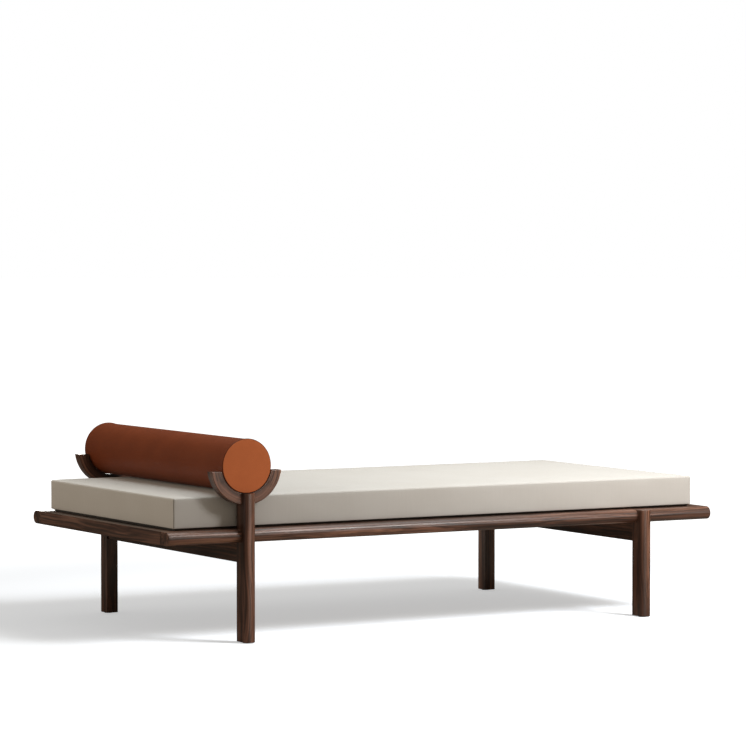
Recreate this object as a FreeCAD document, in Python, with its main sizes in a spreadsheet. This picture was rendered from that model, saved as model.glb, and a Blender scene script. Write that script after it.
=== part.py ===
"""A daybed: a bullnosed timber frame on four legs, a slatted base, a single mattress
and a round bolster that lies in two ring-shaped cradles at the head end.

Frame of the part: +X from head to foot, +Y from front to rear, +Z up, in millimetres.
The origin is on the floor, midway between the ends and midway between the sides.
"""
import FreeCAD, Part
import os
import Sketcher

doc = FreeCAD.newDocument("Daybed")

# ------------------------------------------------------------------ driving dimensions
DIMENSIONS = {
    # side and end rails
    "frame_length": 2000.0,      # over the sawn ends of the side rails
    "frame_width": 984.0,        # over the rounded noses of the side rails
    "rail_top": 350.0,           # top of all four rails above the floor
    "rail_height": 42.0,
    "side_rail_depth": 60.0,     # rounded nose to inner face
    "end_rail_depth": 60.0,      # outer face to inner face
    "rail_tenon_length": 15.0,   # stub tenons of the end rails in the side rails
    "rail_tenon_width": 30.0,
    "rail_tenon_height": 18.0,
    "end_ease": 2.5,             # rounding round the rails' sawn ends
    "edge_ease": 2.0,            # rounding of long timber edges
    # legs
    "leg_inset": 269.0,          # end of the frame to a leg's centre
    "leg_width": 39.0,
    "leg_depth": 61.0,
    "leg_proud": 27.0,           # leg's nose beyond the rail's nose
    "foot_ease": 1.5,
    # floor glides
    "glide_thick": 2.5,
    "glide_radius": 13.0,
    "glide_pin_radius": 2.5,
    "glide_pin_length": 14.0,
    # cross beams between the front and the rear legs
    "beam_thick": 30.0,
    "beam_height": 62.0,
    "beam_tenon_thick": 12.0,
    "beam_tenon_height": 38.0,
    "beam_tenon_length": 25.0,
    "joint_clear": 0.2,          # mortises, housings and laps round what they hold
    # cleats, centre support and slats
    "cleat_thick": 20.0,
    "cleat_height": 22.0,
    "cleat_end_gap": 4.0,
    "support_width": 60.0,
    "slat_thick": 18.0,
    "slat_width": 70.0,
    "slat_end_gap": 2.0,
    # mattress
    "mattress_end_gap": 46.5,    # end of the frame to the end of the mattress
    "mattress_side_gap": 13.0,   # mattress to the legs' backs
    "mattress_thick": 97.0,
    "mattress_cover_thick": 2.5,
    "mattress_gap": 0.3,         # above the slats and the rails
    "mattress_corner": 12.0,
    # bolster and its cradles
    "bolster_radius": 84.8,
    "bolster_wrap_thick": 2.0,
    "bolster_gap": 0.3,          # bolster to cradle at the lowest point
    "bolster_lift": 11.9,        # mattress to the lowest point of the cradles' bowl
    "cradle_clear": 2.0,         # cradle's inner radius less the bolster's radius
    "cradle_ring": 34.5,         # radial width of a cradle
    "cradle_thick": 32.0,
    "cradle_tip_drop": 17.0,     # rings are cut off level, this far below their centre
    "cradle_ease": 2.0,
    # fastenings
    "bolt_radius": 3.0,
    "bolt_head_radius": 5.0,
    "bolt_head_length": 6.0,
    "bolt_spacing": 22.0,        # between the two bolts of a leg
    "bolt_reach": 18.0,          # bolt's grip inside a leg
    "insert_radius": 4.5,
    "insert_length": 20.0,
    "screw_radius": 2.0,
    "screw_head_radius": 4.0,
    "screw_head_length": 2.8,
    "slat_screw_length": 34.0,
    "cleat_screw_length": 40.0,
    "cradle_screw_length": 50.0,
    "cradle_screw_spacing": 20.0,
    "hole_clear": 0.2,           # round bolts and screws, at their sides and ends
}

# Sizes that follow from the driving ones, as formulas of the same sheet.
DERIVED = {
    "length_half": "=frame_length / 2",
    "rail_bottom": "=rail_top - rail_height",
    "rail_middle": "=rail_top - rail_height / 2",
    "rail_nose": "=frame_width / 2",
    "rail_inner": "=frame_width / 2 - side_rail_depth",
    "interior_half": "=frame_length / 2 - end_rail_depth",
    "leg_centre": "=frame_length / 2 - leg_inset",
    "leg_back": "=frame_width / 2 + leg_proud - leg_depth",
    "beam_bottom": "=rail_top - rail_height - beam_height",
    "beam_middle": "=rail_top - rail_height - beam_height / 2",
    "slat_bottom": "=rail_top - slat_thick",
    "slat_half": "=frame_width / 2 - side_rail_depth - slat_end_gap",
    "cleat_bottom": "=slat_bottom - cleat_height",
    "cleat_middle": "=slat_bottom - cleat_height / 2",
    "cleat_inner": "=rail_inner - cleat_thick",
    "slat_screw_place": "=rail_inner - cleat_thick / 2",
    "bolt_length": "=leg_back + bolt_reach - cleat_inner",
    "mattress_bottom": "=rail_top + mattress_gap",
    "mattress_half_length": "=length_half - mattress_end_gap",
    "mattress_half_width": "=leg_back - mattress_side_gap",
    "bowl_bottom": "=mattress_bottom + mattress_thick + bolster_lift",
    "cradle_inner": "=bolster_radius + cradle_clear",
    "cradle_outer": "=bolster_radius + cradle_clear + cradle_ring",
    "cradle_centre": "=bowl_bottom + cradle_inner",
    "cradle_tip": "=cradle_centre - cradle_tip_drop",
    "cradle_screw_place": "=bowl_bottom - cradle_ring / 2",
    "bolster_centre": "=bowl_bottom + bolster_gap + bolster_radius",
    "bolster_half": "=leg_back + cradle_thick",
}

INNER_SLAT_STEPS = 11            # slats stand from leg to leg in this many equal steps

sheet = doc.addObject("Spreadsheet::Sheet", "dim")
cells = {word: str(number) for word, number in DIMENSIONS.items()}
cells.update(DERIVED)
for row, (word, content) in enumerate(cells.items(), start=1):
    sheet.set("A%d" % row, word)
    sheet.setAlias("B%d" % row, word)
    sheet.set("B%d" % row, content)
doc.recompute()


def size(word):
    """The number that the sheet holds under an alias."""
    return float(sheet.get(word))


# --------------------------------------------------------------------- sketch helpers
SKETCH_START = 10.0              # a new outline starts about this big, then takes its sizes


def new_body(label):
    body = doc.addObject("PartDesign::Body", label)
    body.Label = label
    return body


def new_sketch(body, name, role, offset=None):
    """A sketch on one of the body's own planes, or on a parallel of it."""
    sketch = body.newObject("Sketcher::SketchObject", body.Name + "_" + name)
    plane = [feature for feature in body.Origin.OriginFeatures if feature.Role == role][0]
    sketch.AttachmentSupport = (plane, [""])
    sketch.MapMode = "FlatFace"
    if offset:
        sketch.setExpression(".AttachmentOffset.Base.z", offset)
    return sketch


def tie(sketch, direction, geometry, point, formula):
    """Hold a point of the outline at a distance from the sketch's origin."""
    if formula == "0":
        axis = -2 if direction == "DistanceX" else -1
        sketch.addConstraint(Sketcher.Constraint("PointOnObject", geometry, point, axis))
        return
    here = sketch.getPoint(geometry, point)
    start = here.x if direction == "DistanceX" else here.y
    rule = Sketcher.Constraint(direction, -1, 1, geometry, point, start)
    index = sketch.addConstraint(rule)
    sketch.setExpression("Constraints[%d]" % index, formula)


def rectangle(sketch, left, right, low, high):
    """A rectangle between four formulas."""
    edge = SKETCH_START
    corners = [(-edge, -edge), (edge, -edge), (edge, edge), (-edge, edge)]
    points = [FreeCAD.Vector(x, y, 0) for x, y in corners]
    first = sketch.GeometryCount
    for start, end in zip(points, points[1:] + points[:1]):
        sketch.addGeometry(Part.LineSegment(start, end))
    for step in range(4):
        after = first + (step + 1) % 4
        sketch.addConstraint(Sketcher.Constraint("Coincident", first + step, 2, after, 1))
        kind = "Vertical" if step % 2 else "Horizontal"
        sketch.addConstraint(Sketcher.Constraint(kind, first + step))
    tie(sketch, "DistanceX", first, 1, left)
    tie(sketch, "DistanceY", first, 1, low)
    tie(sketch, "DistanceX", first + 1, 2, right)
    tie(sketch, "DistanceY", first + 1, 2, high)


def circle(sketch, across, up, radius):
    """A circle whose centre and radius are formulas."""
    centre = FreeCAD.Vector(SKETCH_START, SKETCH_START, 0)
    upward = FreeCAD.Vector(0, 0, 1)
    number = sketch.addGeometry(Part.Circle(centre, upward, SKETCH_START))
    index = sketch.addConstraint(Sketcher.Constraint("Radius", number, SKETCH_START))
    sketch.setExpression("Constraints[%d]" % index, radius)
    tie(sketch, "DistanceX", number, 3, across)
    tie(sketch, "DistanceY", number, 3, up)


def bullnose(sketch, nose, back, low, high):
    """A flat-backed outline with a half-round nose on its negative side."""
    radius = SKETCH_START
    low_back = FreeCAD.Vector(radius, -radius, 0)
    low_turn = FreeCAD.Vector(-radius, -radius, 0)
    tip = FreeCAD.Vector(-2 * radius, 0, 0)
    high_turn = FreeCAD.Vector(-radius, radius, 0)
    high_back = FreeCAD.Vector(radius, radius, 0)
    sketch.addGeometry(Part.LineSegment(low_back, low_turn))
    sketch.addGeometry(Part.Arc(low_turn, tip, high_turn))
    sketch.addGeometry(Part.LineSegment(high_turn, high_back))
    sketch.addGeometry(Part.LineSegment(high_back, low_back))
    arc_start = sketch.getPoint(1, 1)
    low_end, high_end = (1, 2) if arc_start.y < 0 else (2, 1)
    sketch.addConstraint(Sketcher.Constraint("Tangent", 0, 2, 1, low_end))
    sketch.addConstraint(Sketcher.Constraint("Tangent", 1, high_end, 2, 1))
    sketch.addConstraint(Sketcher.Constraint("Coincident", 2, 2, 3, 1))
    sketch.addConstraint(Sketcher.Constraint("Coincident", 3, 2, 0, 1))
    sketch.addConstraint(Sketcher.Constraint("Horizontal", 0))
    sketch.addConstraint(Sketcher.Constraint("Horizontal", 2))
    sketch.addConstraint(Sketcher.Constraint("Vertical", 3))
    tie(sketch, "DistanceX", 3, 1, back)
    tie(sketch, "DistanceY", 0, 1, low)
    tie(sketch, "DistanceY", 2, 2, high)
    tie(sketch, "DistanceX", 1, 3, "%s + (%s - (%s)) / 2" % (nose, high, low))


# -------------------------------------------------------------------- feature helpers
def pad(sketch, length, symmetric=False):
    feature = sketch.getParentGeoFeatureGroup().newObject("PartDesign::Pad", sketch.Name + "_pad")
    feature.Profile = sketch
    feature.setExpression("Length", length)
    if symmetric:
        feature.SideType = "Symmetric"
    doc.recompute()
    return feature


def pocket(sketch, depth=None, along_normal=False):
    """Cut to a depth, or right through, and make sure that it took timber away."""
    body = sketch.getParentGeoFeatureGroup()
    before = body.Tip.Shape.Volume
    feature = body.newObject("PartDesign::Pocket", sketch.Name + "_cut")
    feature.Profile = sketch
    feature.Reversed = along_normal
    if depth:
        feature.setExpression("Length", depth)
    else:
        feature.Type = "ThroughAll"
    doc.recompute()
    if not feature.Shape.Volume < before:
        raise RuntimeError(feature.Name + " cuts nothing")
    return feature


def ease(body, name, radius, wanted):
    """Round the edges of the body's latest shape that a test picks out."""
    base = body.Tip
    edges = base.Shape.Edges
    chosen = ["Edge%d" % number for number, edge in enumerate(edges, start=1) if wanted(edge)]
    feature = body.newObject("PartDesign::Fillet", body.Name + "_" + name)
    feature.Base = (base, chosen)
    feature.setExpression("Radius", radius)
    doc.recompute()
    return feature


def lies_at(edge, axis, place):
    """Whether the whole edge lies in the plane where one coordinate has this value."""
    box = edge.BoundBox
    low, high = {"x": (box.XMin, box.XMax), "y": (box.YMin, box.YMax), "z": (box.ZMin, box.ZMax)}[axis]
    return abs(low - place) < 0.01 and abs(high - place) < 0.01


def place(thing, along=None, across=None, turn=0.0):
    """Set where a sub-part stands and which way it is turned about the vertical."""
    upward = FreeCAD.Vector(0, 0, 1)
    thing.Placement = FreeCAD.Placement(FreeCAD.Vector(), FreeCAD.Rotation(upward, turn))
    if along:
        thing.setExpression(".Placement.Base.x", along)
    if across:
        thing.setExpression(".Placement.Base.y", across)


FRONT_AND_REAR = (("front", 0.0), ("rear", 180.0))
HEAD_AND_FOOT = (("head", 0.0), ("foot", 180.0))


# ------------------------------------------------------------------- stations of slats
def slat_centres():
    """Slats at the legs and in equal steps between them, and one in each end bay."""
    leg = size("leg_centre")
    step = 2 * leg / INNER_SLAT_STEPS
    inner = [-leg + step * number for number in range(INNER_SLAT_STEPS + 1)]
    end = (leg + size("interior_half")) / 2
    return [-end] + inner + [end]


def slat_formulas():
    """The same stations as formulas of the sheet."""
    inner = [
        "dim.leg_centre * %d / %d" % (2 * number - INNER_SLAT_STEPS, INNER_SLAT_STEPS)
        for number in range(INNER_SLAT_STEPS + 1)
    ]
    end = "(dim.leg_centre + dim.interior_half) / 2"
    return ["-" + end] + inner + [end]


def cleat_screw_formulas():
    """Midway between every other pair of neighbouring slats."""
    stations = slat_formulas()
    pairs = list(zip(stations, stations[1:]))[::2]
    return ["(%s + %s) / 2" % pair for pair in pairs]


BOLT_PLACES = [
    "%s * dim.leg_centre %s dim.bolt_spacing / 2" % (end, side)
    for end in ("-1", "1")
    for side in ("-", "+")
]


# ------------------------------------------------------------------------------- rails
def side_rail(label, turn):
    """A bullnosed rail, housed for two legs and mortised for the end rails."""
    body = new_body(label)
    profile = new_sketch(body, "profile", "YZ_Plane")
    bullnose(profile, "-dim.rail_nose", "-dim.rail_inner", "dim.rail_bottom", "dim.rail_top")
    pad(profile, "dim.frame_length", symmetric=True)
    ease(body, "ends", "dim.end_ease", lambda edge: lies_at(edge, "x", size("length_half"))
         or lies_at(edge, "x", -size("length_half")))

    housings = new_sketch(body, "housings", "XY_Plane")
    for end in ("-1", "1"):
        middle = end + " * dim.leg_centre"
        half = "(dim.leg_width / 2 + dim.joint_clear)"
        rectangle(housings, middle + " - " + half, middle + " + " + half,
                  "-dim.rail_nose - dim.leg_proud", "-dim.leg_back + dim.joint_clear")
    pocket(housings, along_normal=True)

    mortises = new_sketch(body, "mortises", "XZ_Plane", "dim.rail_inner")
    half_height = "(dim.rail_tenon_height / 2 + dim.joint_clear)"
    half_width = "(dim.rail_tenon_width / 2 + dim.joint_clear)"
    for end in ("-1", "1"):
        middle = end + " * (dim.interior_half + dim.length_half) / 2"
        rectangle(mortises, middle + " - " + half_width, middle + " + " + half_width,
                  "dim.rail_middle - " + half_height, "dim.rail_middle + " + half_height)
    pocket(mortises, "dim.rail_tenon_length + dim.joint_clear", along_normal=True)

    bolt_holes = new_sketch(body, "bolt_holes", "XZ_Plane", "dim.rail_inner")
    for middle in BOLT_PLACES:
        circle(bolt_holes, middle, "dim.cleat_middle", "dim.bolt_radius + dim.hole_clear")
    pocket(bolt_holes, along_normal=True)

    screw_holes = new_sketch(body, "screw_holes", "XZ_Plane", "dim.rail_inner")
    for middle in cleat_screw_formulas():
        circle(screw_holes, middle, "dim.cleat_middle", "dim.screw_radius + dim.hole_clear")
    pocket(screw_holes, "dim.cleat_screw_length - dim.cleat_thick + dim.hole_clear", along_normal=True)
    place(body, turn=turn)
    return body


def end_rail(label, turn):
    """A square rail between the side rails, flush with their ends, with stub tenons."""
    body = new_body(label)
    plan = new_sketch(body, "plan", "XY_Plane", "dim.rail_bottom")
    rectangle(plan, "-dim.length_half", "-dim.interior_half", "-dim.rail_inner", "dim.rail_inner")
    pad(plan, "dim.rail_height")
    ease(body, "edges", "dim.edge_ease", lambda edge: lies_at(edge, "x", -size("length_half"))
         and edge.BoundBox.YLength > size("rail_inner"))
    tenons = new_sketch(body, "tenons", "XZ_Plane")
    middle = "-(dim.interior_half + dim.length_half) / 2"
    rectangle(tenons, middle + " - dim.rail_tenon_width / 2", middle + " + dim.rail_tenon_width / 2",
              "dim.rail_middle - dim.rail_tenon_height / 2", "dim.rail_middle + dim.rail_tenon_height / 2")
    pad(tenons, "2 * (dim.rail_inner + dim.rail_tenon_length)", symmetric=True)
    place(body, turn=turn)
    return body


# -------------------------------------------------------------------------------- legs
def leg(label, top, tall, along, across, turn):
    """A D-shaped leg with its nose on local -X and its back at local X 0.

    A tall leg carries a cradle: its back half stops under the ring, its front half
    rises in front of the ring and ends in the line of the cradle's bowl.
    """
    body = new_body(label)
    outline = new_sketch(body, "outline", "XY_Plane", "dim.glide_thick")
    bullnose(outline, "-dim.leg_depth", "0", "-dim.leg_width / 2", "dim.leg_width / 2")
    pad(outline, top + " - dim.glide_thick")
    ease(body, "foot", "dim.foot_ease", lambda edge: lies_at(edge, "z", size("glide_thick")))
    if tall:
        bowl = new_sketch(body, "bowl", "YZ_Plane")
        circle(bowl, "0", "dim.cradle_centre", "dim.cradle_inner")
        pocket(bowl)
        lap = new_sketch(body, "lap", "YZ_Plane")
        circle(lap, "0", "dim.cradle_centre", "dim.cradle_outer + dim.joint_clear")
        pocket(lap, "dim.cradle_thick + dim.joint_clear")
        screw_holes = new_sketch(body, "screw_holes", "YZ_Plane", "-dim.cradle_thick")
        for side in ("-", ""):
            circle(screw_holes, side + "dim.cradle_screw_spacing / 2", "dim.cradle_screw_place",
                   "dim.screw_radius + dim.hole_clear")
        pocket(screw_holes, "dim.cradle_screw_length - dim.cradle_thick + dim.hole_clear")
    else:
        ease(body, "top", "dim.foot_ease", lambda edge: lies_at(edge, "z", size("rail_top")))

    mortise = new_sketch(body, "mortise", "YZ_Plane")
    half_thick = "(dim.beam_tenon_thick / 2 + dim.joint_clear)"
    half_height = "(dim.beam_tenon_height / 2 + dim.joint_clear)"
    rectangle(mortise, "-" + half_thick, half_thick,
              "dim.beam_middle - " + half_height, "dim.beam_middle + " + half_height)
    pocket(mortise, "dim.beam_tenon_length + dim.joint_clear")

    insert_holes = new_sketch(body, "insert_holes", "YZ_Plane")
    for side in ("-", ""):
        circle(insert_holes, side + "dim.bolt_spacing / 2", "dim.cleat_middle",
               "dim.insert_radius + dim.hole_clear")
    pocket(insert_holes, "dim.insert_length + dim.hole_clear")

    pin_hole = new_sketch(body, "pin_hole", "XY_Plane", "dim.glide_thick")
    circle(pin_hole, "-dim.leg_depth / 2", "0", "dim.glide_pin_radius + dim.hole_clear")
    pocket(pin_hole, "dim.glide_pin_length + dim.hole_clear", along_normal=True)
    place(body, along=along, across=across, turn=turn)
    return body


def glide(label, along, across):
    """A nylon disc under a leg, with a pin pressed up into it."""
    body = new_body(label)
    disc = new_sketch(body, "disc", "XY_Plane")
    circle(disc, "0", "0", "dim.glide_radius")
    pad(disc, "dim.glide_thick")
    pin = new_sketch(body, "pin", "XY_Plane")
    circle(pin, "0", "0", "dim.glide_pin_radius")
    pad(pin, "dim.glide_thick + dim.glide_pin_length")
    place(body, along=along, across=across)
    return body


def cross_beam(label, turn):
    """A deep rail on edge under the side rails, tenoned into the legs' backs."""
    body = new_body(label)
    plan = new_sketch(body, "plan", "XY_Plane", "dim.beam_bottom")
    rectangle(plan, "-dim.leg_centre - dim.beam_thick / 2", "-dim.leg_centre + dim.beam_thick / 2",
              "-dim.leg_back", "dim.leg_back")
    pad(plan, "dim.beam_height")
    ease(body, "edges", "dim.edge_ease", lambda edge: lies_at(edge, "z", size("beam_bottom"))
         and edge.BoundBox.YLength > size("leg_back"))
    tenons = new_sketch(body, "tenons", "XZ_Plane")
    rectangle(tenons, "-dim.leg_centre - dim.beam_tenon_thick / 2",
              "-dim.leg_centre + dim.beam_tenon_thick / 2",
              "dim.beam_middle - dim.beam_tenon_height / 2", "dim.beam_middle + dim.beam_tenon_height / 2")
    pad(tenons, "2 * (dim.leg_back + dim.beam_tenon_length)", symmetric=True)
    place(body, turn=turn)
    return body


# ------------------------------------------------------------------------ slatted base
def cleat(label, turn):
    """A strip on a side rail's inner face that carries the slats' ends."""
    body = new_body(label)
    plan = new_sketch(body, "plan", "XY_Plane", "dim.cleat_bottom")
    rectangle(plan, "-dim.interior_half + dim.cleat_end_gap", "dim.interior_half - dim.cleat_end_gap",
              "-dim.rail_inner", "-dim.cleat_inner")
    pad(plan, "dim.cleat_height")

    shanks = new_sketch(body, "shanks", "XZ_Plane", "dim.cleat_inner")
    heads = new_sketch(body, "heads", "XZ_Plane", "dim.cleat_inner")
    for middle in BOLT_PLACES:
        circle(shanks, middle, "dim.cleat_middle", "dim.bolt_radius + dim.hole_clear")
        circle(heads, middle, "dim.cleat_middle", "dim.bolt_head_radius + dim.hole_clear")
    pocket(shanks, along_normal=True)
    pocket(heads, "dim.bolt_head_length", along_normal=True)

    screw_shanks = new_sketch(body, "screw_shanks", "XZ_Plane", "dim.cleat_inner")
    screw_heads = new_sketch(body, "screw_heads", "XZ_Plane", "dim.cleat_inner")
    for middle in cleat_screw_formulas():
        circle(screw_shanks, middle, "dim.cleat_middle", "dim.screw_radius + dim.hole_clear")
        circle(screw_heads, middle, "dim.cleat_middle", "dim.screw_head_radius + dim.hole_clear")
    pocket(screw_shanks, along_normal=True)
    pocket(screw_heads, "dim.screw_head_length", along_normal=True)

    slat_holes = new_sketch(body, "slat_holes", "XY_Plane", "dim.slat_bottom")
    for middle in slat_formulas():
        circle(slat_holes, middle, "-dim.slat_screw_place", "dim.screw_radius + dim.hole_clear")
    pocket(slat_holes, "dim.slat_screw_length - dim.slat_thick + dim.hole_clear")
    place(body, turn=turn)
    return body


def centre_support(label):
    """A flat bearer along the middle that lies on both cross beams, under the slats."""
    body = new_body(label)
    side = new_sketch(body, "side", "XZ_Plane")
    rectangle(side, "-dim.interior_half", "dim.interior_half", "dim.rail_bottom", "dim.slat_bottom")
    pad(side, "dim.support_width", symmetric=True)
    slat_holes = new_sketch(body, "slat_holes", "XY_Plane", "dim.slat_bottom")
    for middle in slat_formulas():
        circle(slat_holes, middle, "0", "dim.screw_radius + dim.hole_clear")
    pocket(slat_holes, "dim.slat_screw_length - dim.slat_thick + dim.hole_clear")
    return body


def slat(label, along):
    """A flat slat with a counterbored screw hole at each end and one in the middle."""
    body = new_body(label)
    plan = new_sketch(body, "plan", "XY_Plane", "dim.slat_bottom")
    rectangle(plan, "-dim.slat_width / 2", "dim.slat_width / 2", "-dim.slat_half", "dim.slat_half")
    pad(plan, "dim.slat_thick")
    ease(body, "edges", "dim.edge_ease", lambda edge: edge.BoundBox.YLength > size("slat_half"))
    shanks = new_sketch(body, "shanks", "XY_Plane", "dim.rail_top")
    heads = new_sketch(body, "heads", "XY_Plane", "dim.rail_top")
    for across in ("-dim.slat_screw_place", "0", "dim.slat_screw_place"):
        circle(shanks, "0", across, "dim.screw_radius + dim.hole_clear")
        circle(heads, "0", across, "dim.screw_head_radius + dim.hole_clear")
    pocket(shanks)
    pocket(heads, "dim.screw_head_length")
    place(body, along=along)
    return body


# ----------------------------------------------------------------- cradles and bolster
def cradle(label, turn):
    """A ring cut off level at the top, lapped into the back of a head leg."""
    body = new_body(label)
    ring = new_sketch(body, "ring", "XZ_Plane", "dim.leg_back")
    circle(ring, "0", "dim.cradle_centre", "dim.cradle_outer")
    circle(ring, "0", "dim.cradle_centre", "dim.cradle_inner")
    pad(ring, "dim.cradle_thick")
    level = new_sketch(body, "level", "XZ_Plane", "dim.leg_back")
    rectangle(level, "-2 * dim.cradle_outer", "2 * dim.cradle_outer",
              "dim.cradle_tip", "dim.cradle_centre + 2 * dim.cradle_outer")
    pocket(level, along_normal=True)
    # the front face's whole outline is rounded; its back sits against the leg's lap
    front = -(size("leg_back") + size("cradle_thick"))
    ease(body, "edges", "dim.cradle_ease", lambda edge: lies_at(edge, "y", front))
    shanks = new_sketch(body, "shanks", "XZ_Plane", "dim.leg_back")
    heads = new_sketch(body, "heads", "XZ_Plane", "dim.leg_back")
    for side in ("-", ""):
        across = side + "dim.cradle_screw_spacing / 2"
        circle(shanks, across, "dim.cradle_screw_place", "dim.screw_radius + dim.hole_clear")
        circle(heads, across, "dim.cradle_screw_place", "dim.screw_head_radius + dim.hole_clear")
    pocket(shanks, along_normal=True)
    pocket(heads, "dim.screw_head_length", along_normal=True)
    place(body, along="-dim.leg_centre", turn=turn)
    return body


def lying_cylinder(name, radius, start, length):
    """A cylinder along +Y on the bolster's axis, from one place along it."""
    cylinder = doc.addObject("Part::Cylinder", name)
    cylinder.Label = name
    cylinder.setExpression("Radius", radius)
    cylinder.setExpression("Height", length)
    sideways = FreeCAD.Rotation(FreeCAD.Vector(1, 0, 0), -90)
    cylinder.Placement = FreeCAD.Placement(FreeCAD.Vector(), sideways)
    cylinder.setExpression(".Placement.Base.x", "-dim.leg_centre")
    cylinder.setExpression(".Placement.Base.y", start)
    cylinder.setExpression(".Placement.Base.z", "dim.bolster_centre")
    return cylinder


def bolster():
    """A foam core in a leather wrap that is closed by a leather panel at each end."""
    inside = "dim.bolster_half - dim.bolster_wrap_thick"
    start, length = "-(%s)" % inside, "2 * (%s)" % inside
    inner_radius = "dim.bolster_radius - dim.bolster_wrap_thick"
    core = lying_cylinder("bolster_core", inner_radius, start, length)
    outer = lying_cylinder("bolster_outside", "dim.bolster_radius", start, length)
    inner = lying_cylinder("bolster_inside", inner_radius, start, length)
    wrap = doc.addObject("Part::Cut", "bolster_wrap")
    wrap.Label = "bolster_wrap"
    wrap.Base = outer
    wrap.Tool = inner
    panels = [
        lying_cylinder("bolster_end_front", "dim.bolster_radius", "-dim.bolster_half",
                       "dim.bolster_wrap_thick"),
        lying_cylinder("bolster_end_rear", "dim.bolster_radius",
                       "dim.bolster_half - dim.bolster_wrap_thick", "dim.bolster_wrap_thick"),
    ]
    return [core, wrap] + panels


# ---------------------------------------------------------------------------- mattress
def mattress_block(label, inset):
    """A block with rounded upright corners, smaller all round by an inset."""
    body = new_body(label)
    plan = new_sketch(body, "plan", "XY_Plane", "dim.mattress_bottom + " + inset)
    length = "(dim.mattress_half_length - %s)" % inset
    width = "(dim.mattress_half_width - %s)" % inset
    rectangle(plan, "-" + length, length, "-" + width, width)
    pad(plan, "dim.mattress_thick - 2 * " + inset)
    ease(body, "corners", "dim.mattress_corner", lambda edge: edge.BoundBox.ZLength
         > size("mattress_thick") / 2)
    return body


def mattress():
    """A foam core and the closed cover around it."""
    core = mattress_block("mattress_core", "dim.mattress_cover_thick")
    cover = doc.addObject("Part::Cut", "mattress_cover")
    cover.Label = "mattress_cover"
    cover.Base = mattress_block("cover_outside", "0")
    cover.Tool = mattress_block("cover_inside", "dim.mattress_cover_thick")
    doc.recompute()
    return [core, cover]


# -------------------------------------------------------------------------- fastenings
def headed(name, radius, head_radius, head_length, length):
    """A bolt or screw down the Z axis, with the top of its round head at Z 0."""
    head = doc.addObject("Part::Cylinder", name + "_head")
    head.setExpression("Radius", head_radius)
    head.setExpression("Height", head_length)
    head.setExpression(".Placement.Base.z", "-" + head_length)
    shank = doc.addObject("Part::Cylinder", name + "_shank")
    shank.setExpression("Radius", radius)
    shank.setExpression("Height", length)
    shank.setExpression(".Placement.Base.z", "-(%s)" % length)
    whole = doc.addObject("Part::Fuse", name)
    whole.Base = head
    whole.Tool = shank
    return whole


def threaded_insert(name):
    """A plain tube down the Z axis, with its mouth at Z 0."""
    outside = doc.addObject("Part::Cylinder", name + "_outside")
    outside.setExpression("Radius", "dim.insert_radius")
    hole = doc.addObject("Part::Cylinder", name + "_hole")
    hole.setExpression("Radius", "dim.bolt_radius + dim.hole_clear")
    for cylinder in (outside, hole):
        cylinder.setExpression("Height", "dim.insert_length")
        cylinder.setExpression(".Placement.Base.z", "-dim.insert_length")
    tube = doc.addObject("Part::Cut", name)
    tube.Base = outside
    tube.Tool = hole
    return tube


def group(label, pattern, stations):
    """Copies of one fastening at several stations, as one group of separate solids."""
    doc.recompute()
    copies = []
    for centre, rotation in stations:
        copy = pattern.Shape.copy()
        copy.Placement = FreeCAD.Placement(centre, rotation)
        copies.append(copy)
    feature = doc.addObject("Part::Feature", label)
    feature.Label = label
    feature.Shape = Part.makeCompound(copies)
    feature.Placement = FreeCAD.Placement()
    return feature


def driven_out(side):
    """Turns a fastening so that it points away from the middle, to the front or rear."""
    return FreeCAD.Rotation(FreeCAD.Vector(1, 0, 0), 90 * side)


def fastenings():
    """Screws, bolts and threaded inserts, each kind in its own group."""
    downward = FreeCAD.Rotation()
    ends, sides = (-1, 1), (-1, 1)
    leg_bolts = []
    leg_inserts = []
    cradle_screws = []
    for side in sides:
        for end in ends:
            for shift in (-size("bolt_spacing") / 2, size("bolt_spacing") / 2):
                along = end * size("leg_centre") + shift
                head = FreeCAD.Vector(along, side * size("cleat_inner"), size("cleat_middle"))
                mouth = FreeCAD.Vector(along, side * size("leg_back"), size("cleat_middle"))
                leg_bolts.append((head, driven_out(side)))
                leg_inserts.append((mouth, driven_out(side)))
        for shift in (-size("cradle_screw_spacing") / 2, size("cradle_screw_spacing") / 2):
            back = FreeCAD.Vector(-size("leg_centre") + shift, side * size("leg_back"),
                                  size("cradle_screw_place"))
            cradle_screws.append((back, driven_out(side)))

    centres = slat_centres()
    slat_screws = [
        (FreeCAD.Vector(along, across, size("rail_top")), downward)
        for along in centres
        for across in (-size("slat_screw_place"), 0.0, size("slat_screw_place"))
    ]
    between = [(one + other) / 2 for one, other in list(zip(centres, centres[1:]))[::2]]
    cleat_screws = [
        (FreeCAD.Vector(along, side * size("cleat_inner"), size("cleat_middle")), driven_out(side))
        for along in between
        for side in sides
    ]

    bolt = headed("bolt", "dim.bolt_radius", "dim.bolt_head_radius", "dim.bolt_head_length",
                  "dim.bolt_length")
    screw = ("dim.screw_radius", "dim.screw_head_radius", "dim.screw_head_length")
    return [
        group("leg_bolts", bolt, leg_bolts),
        group("leg_inserts", threaded_insert("insert"), leg_inserts),
        group("cradle_screws", headed("long_screw", *screw, "dim.cradle_screw_length"), cradle_screws),
        group("slat_screws", headed("short_screw", *screw, "dim.slat_screw_length"), slat_screws),
        group("cleat_screws", headed("middle_screw", *screw, "dim.cleat_screw_length"), cleat_screws),
    ]


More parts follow.
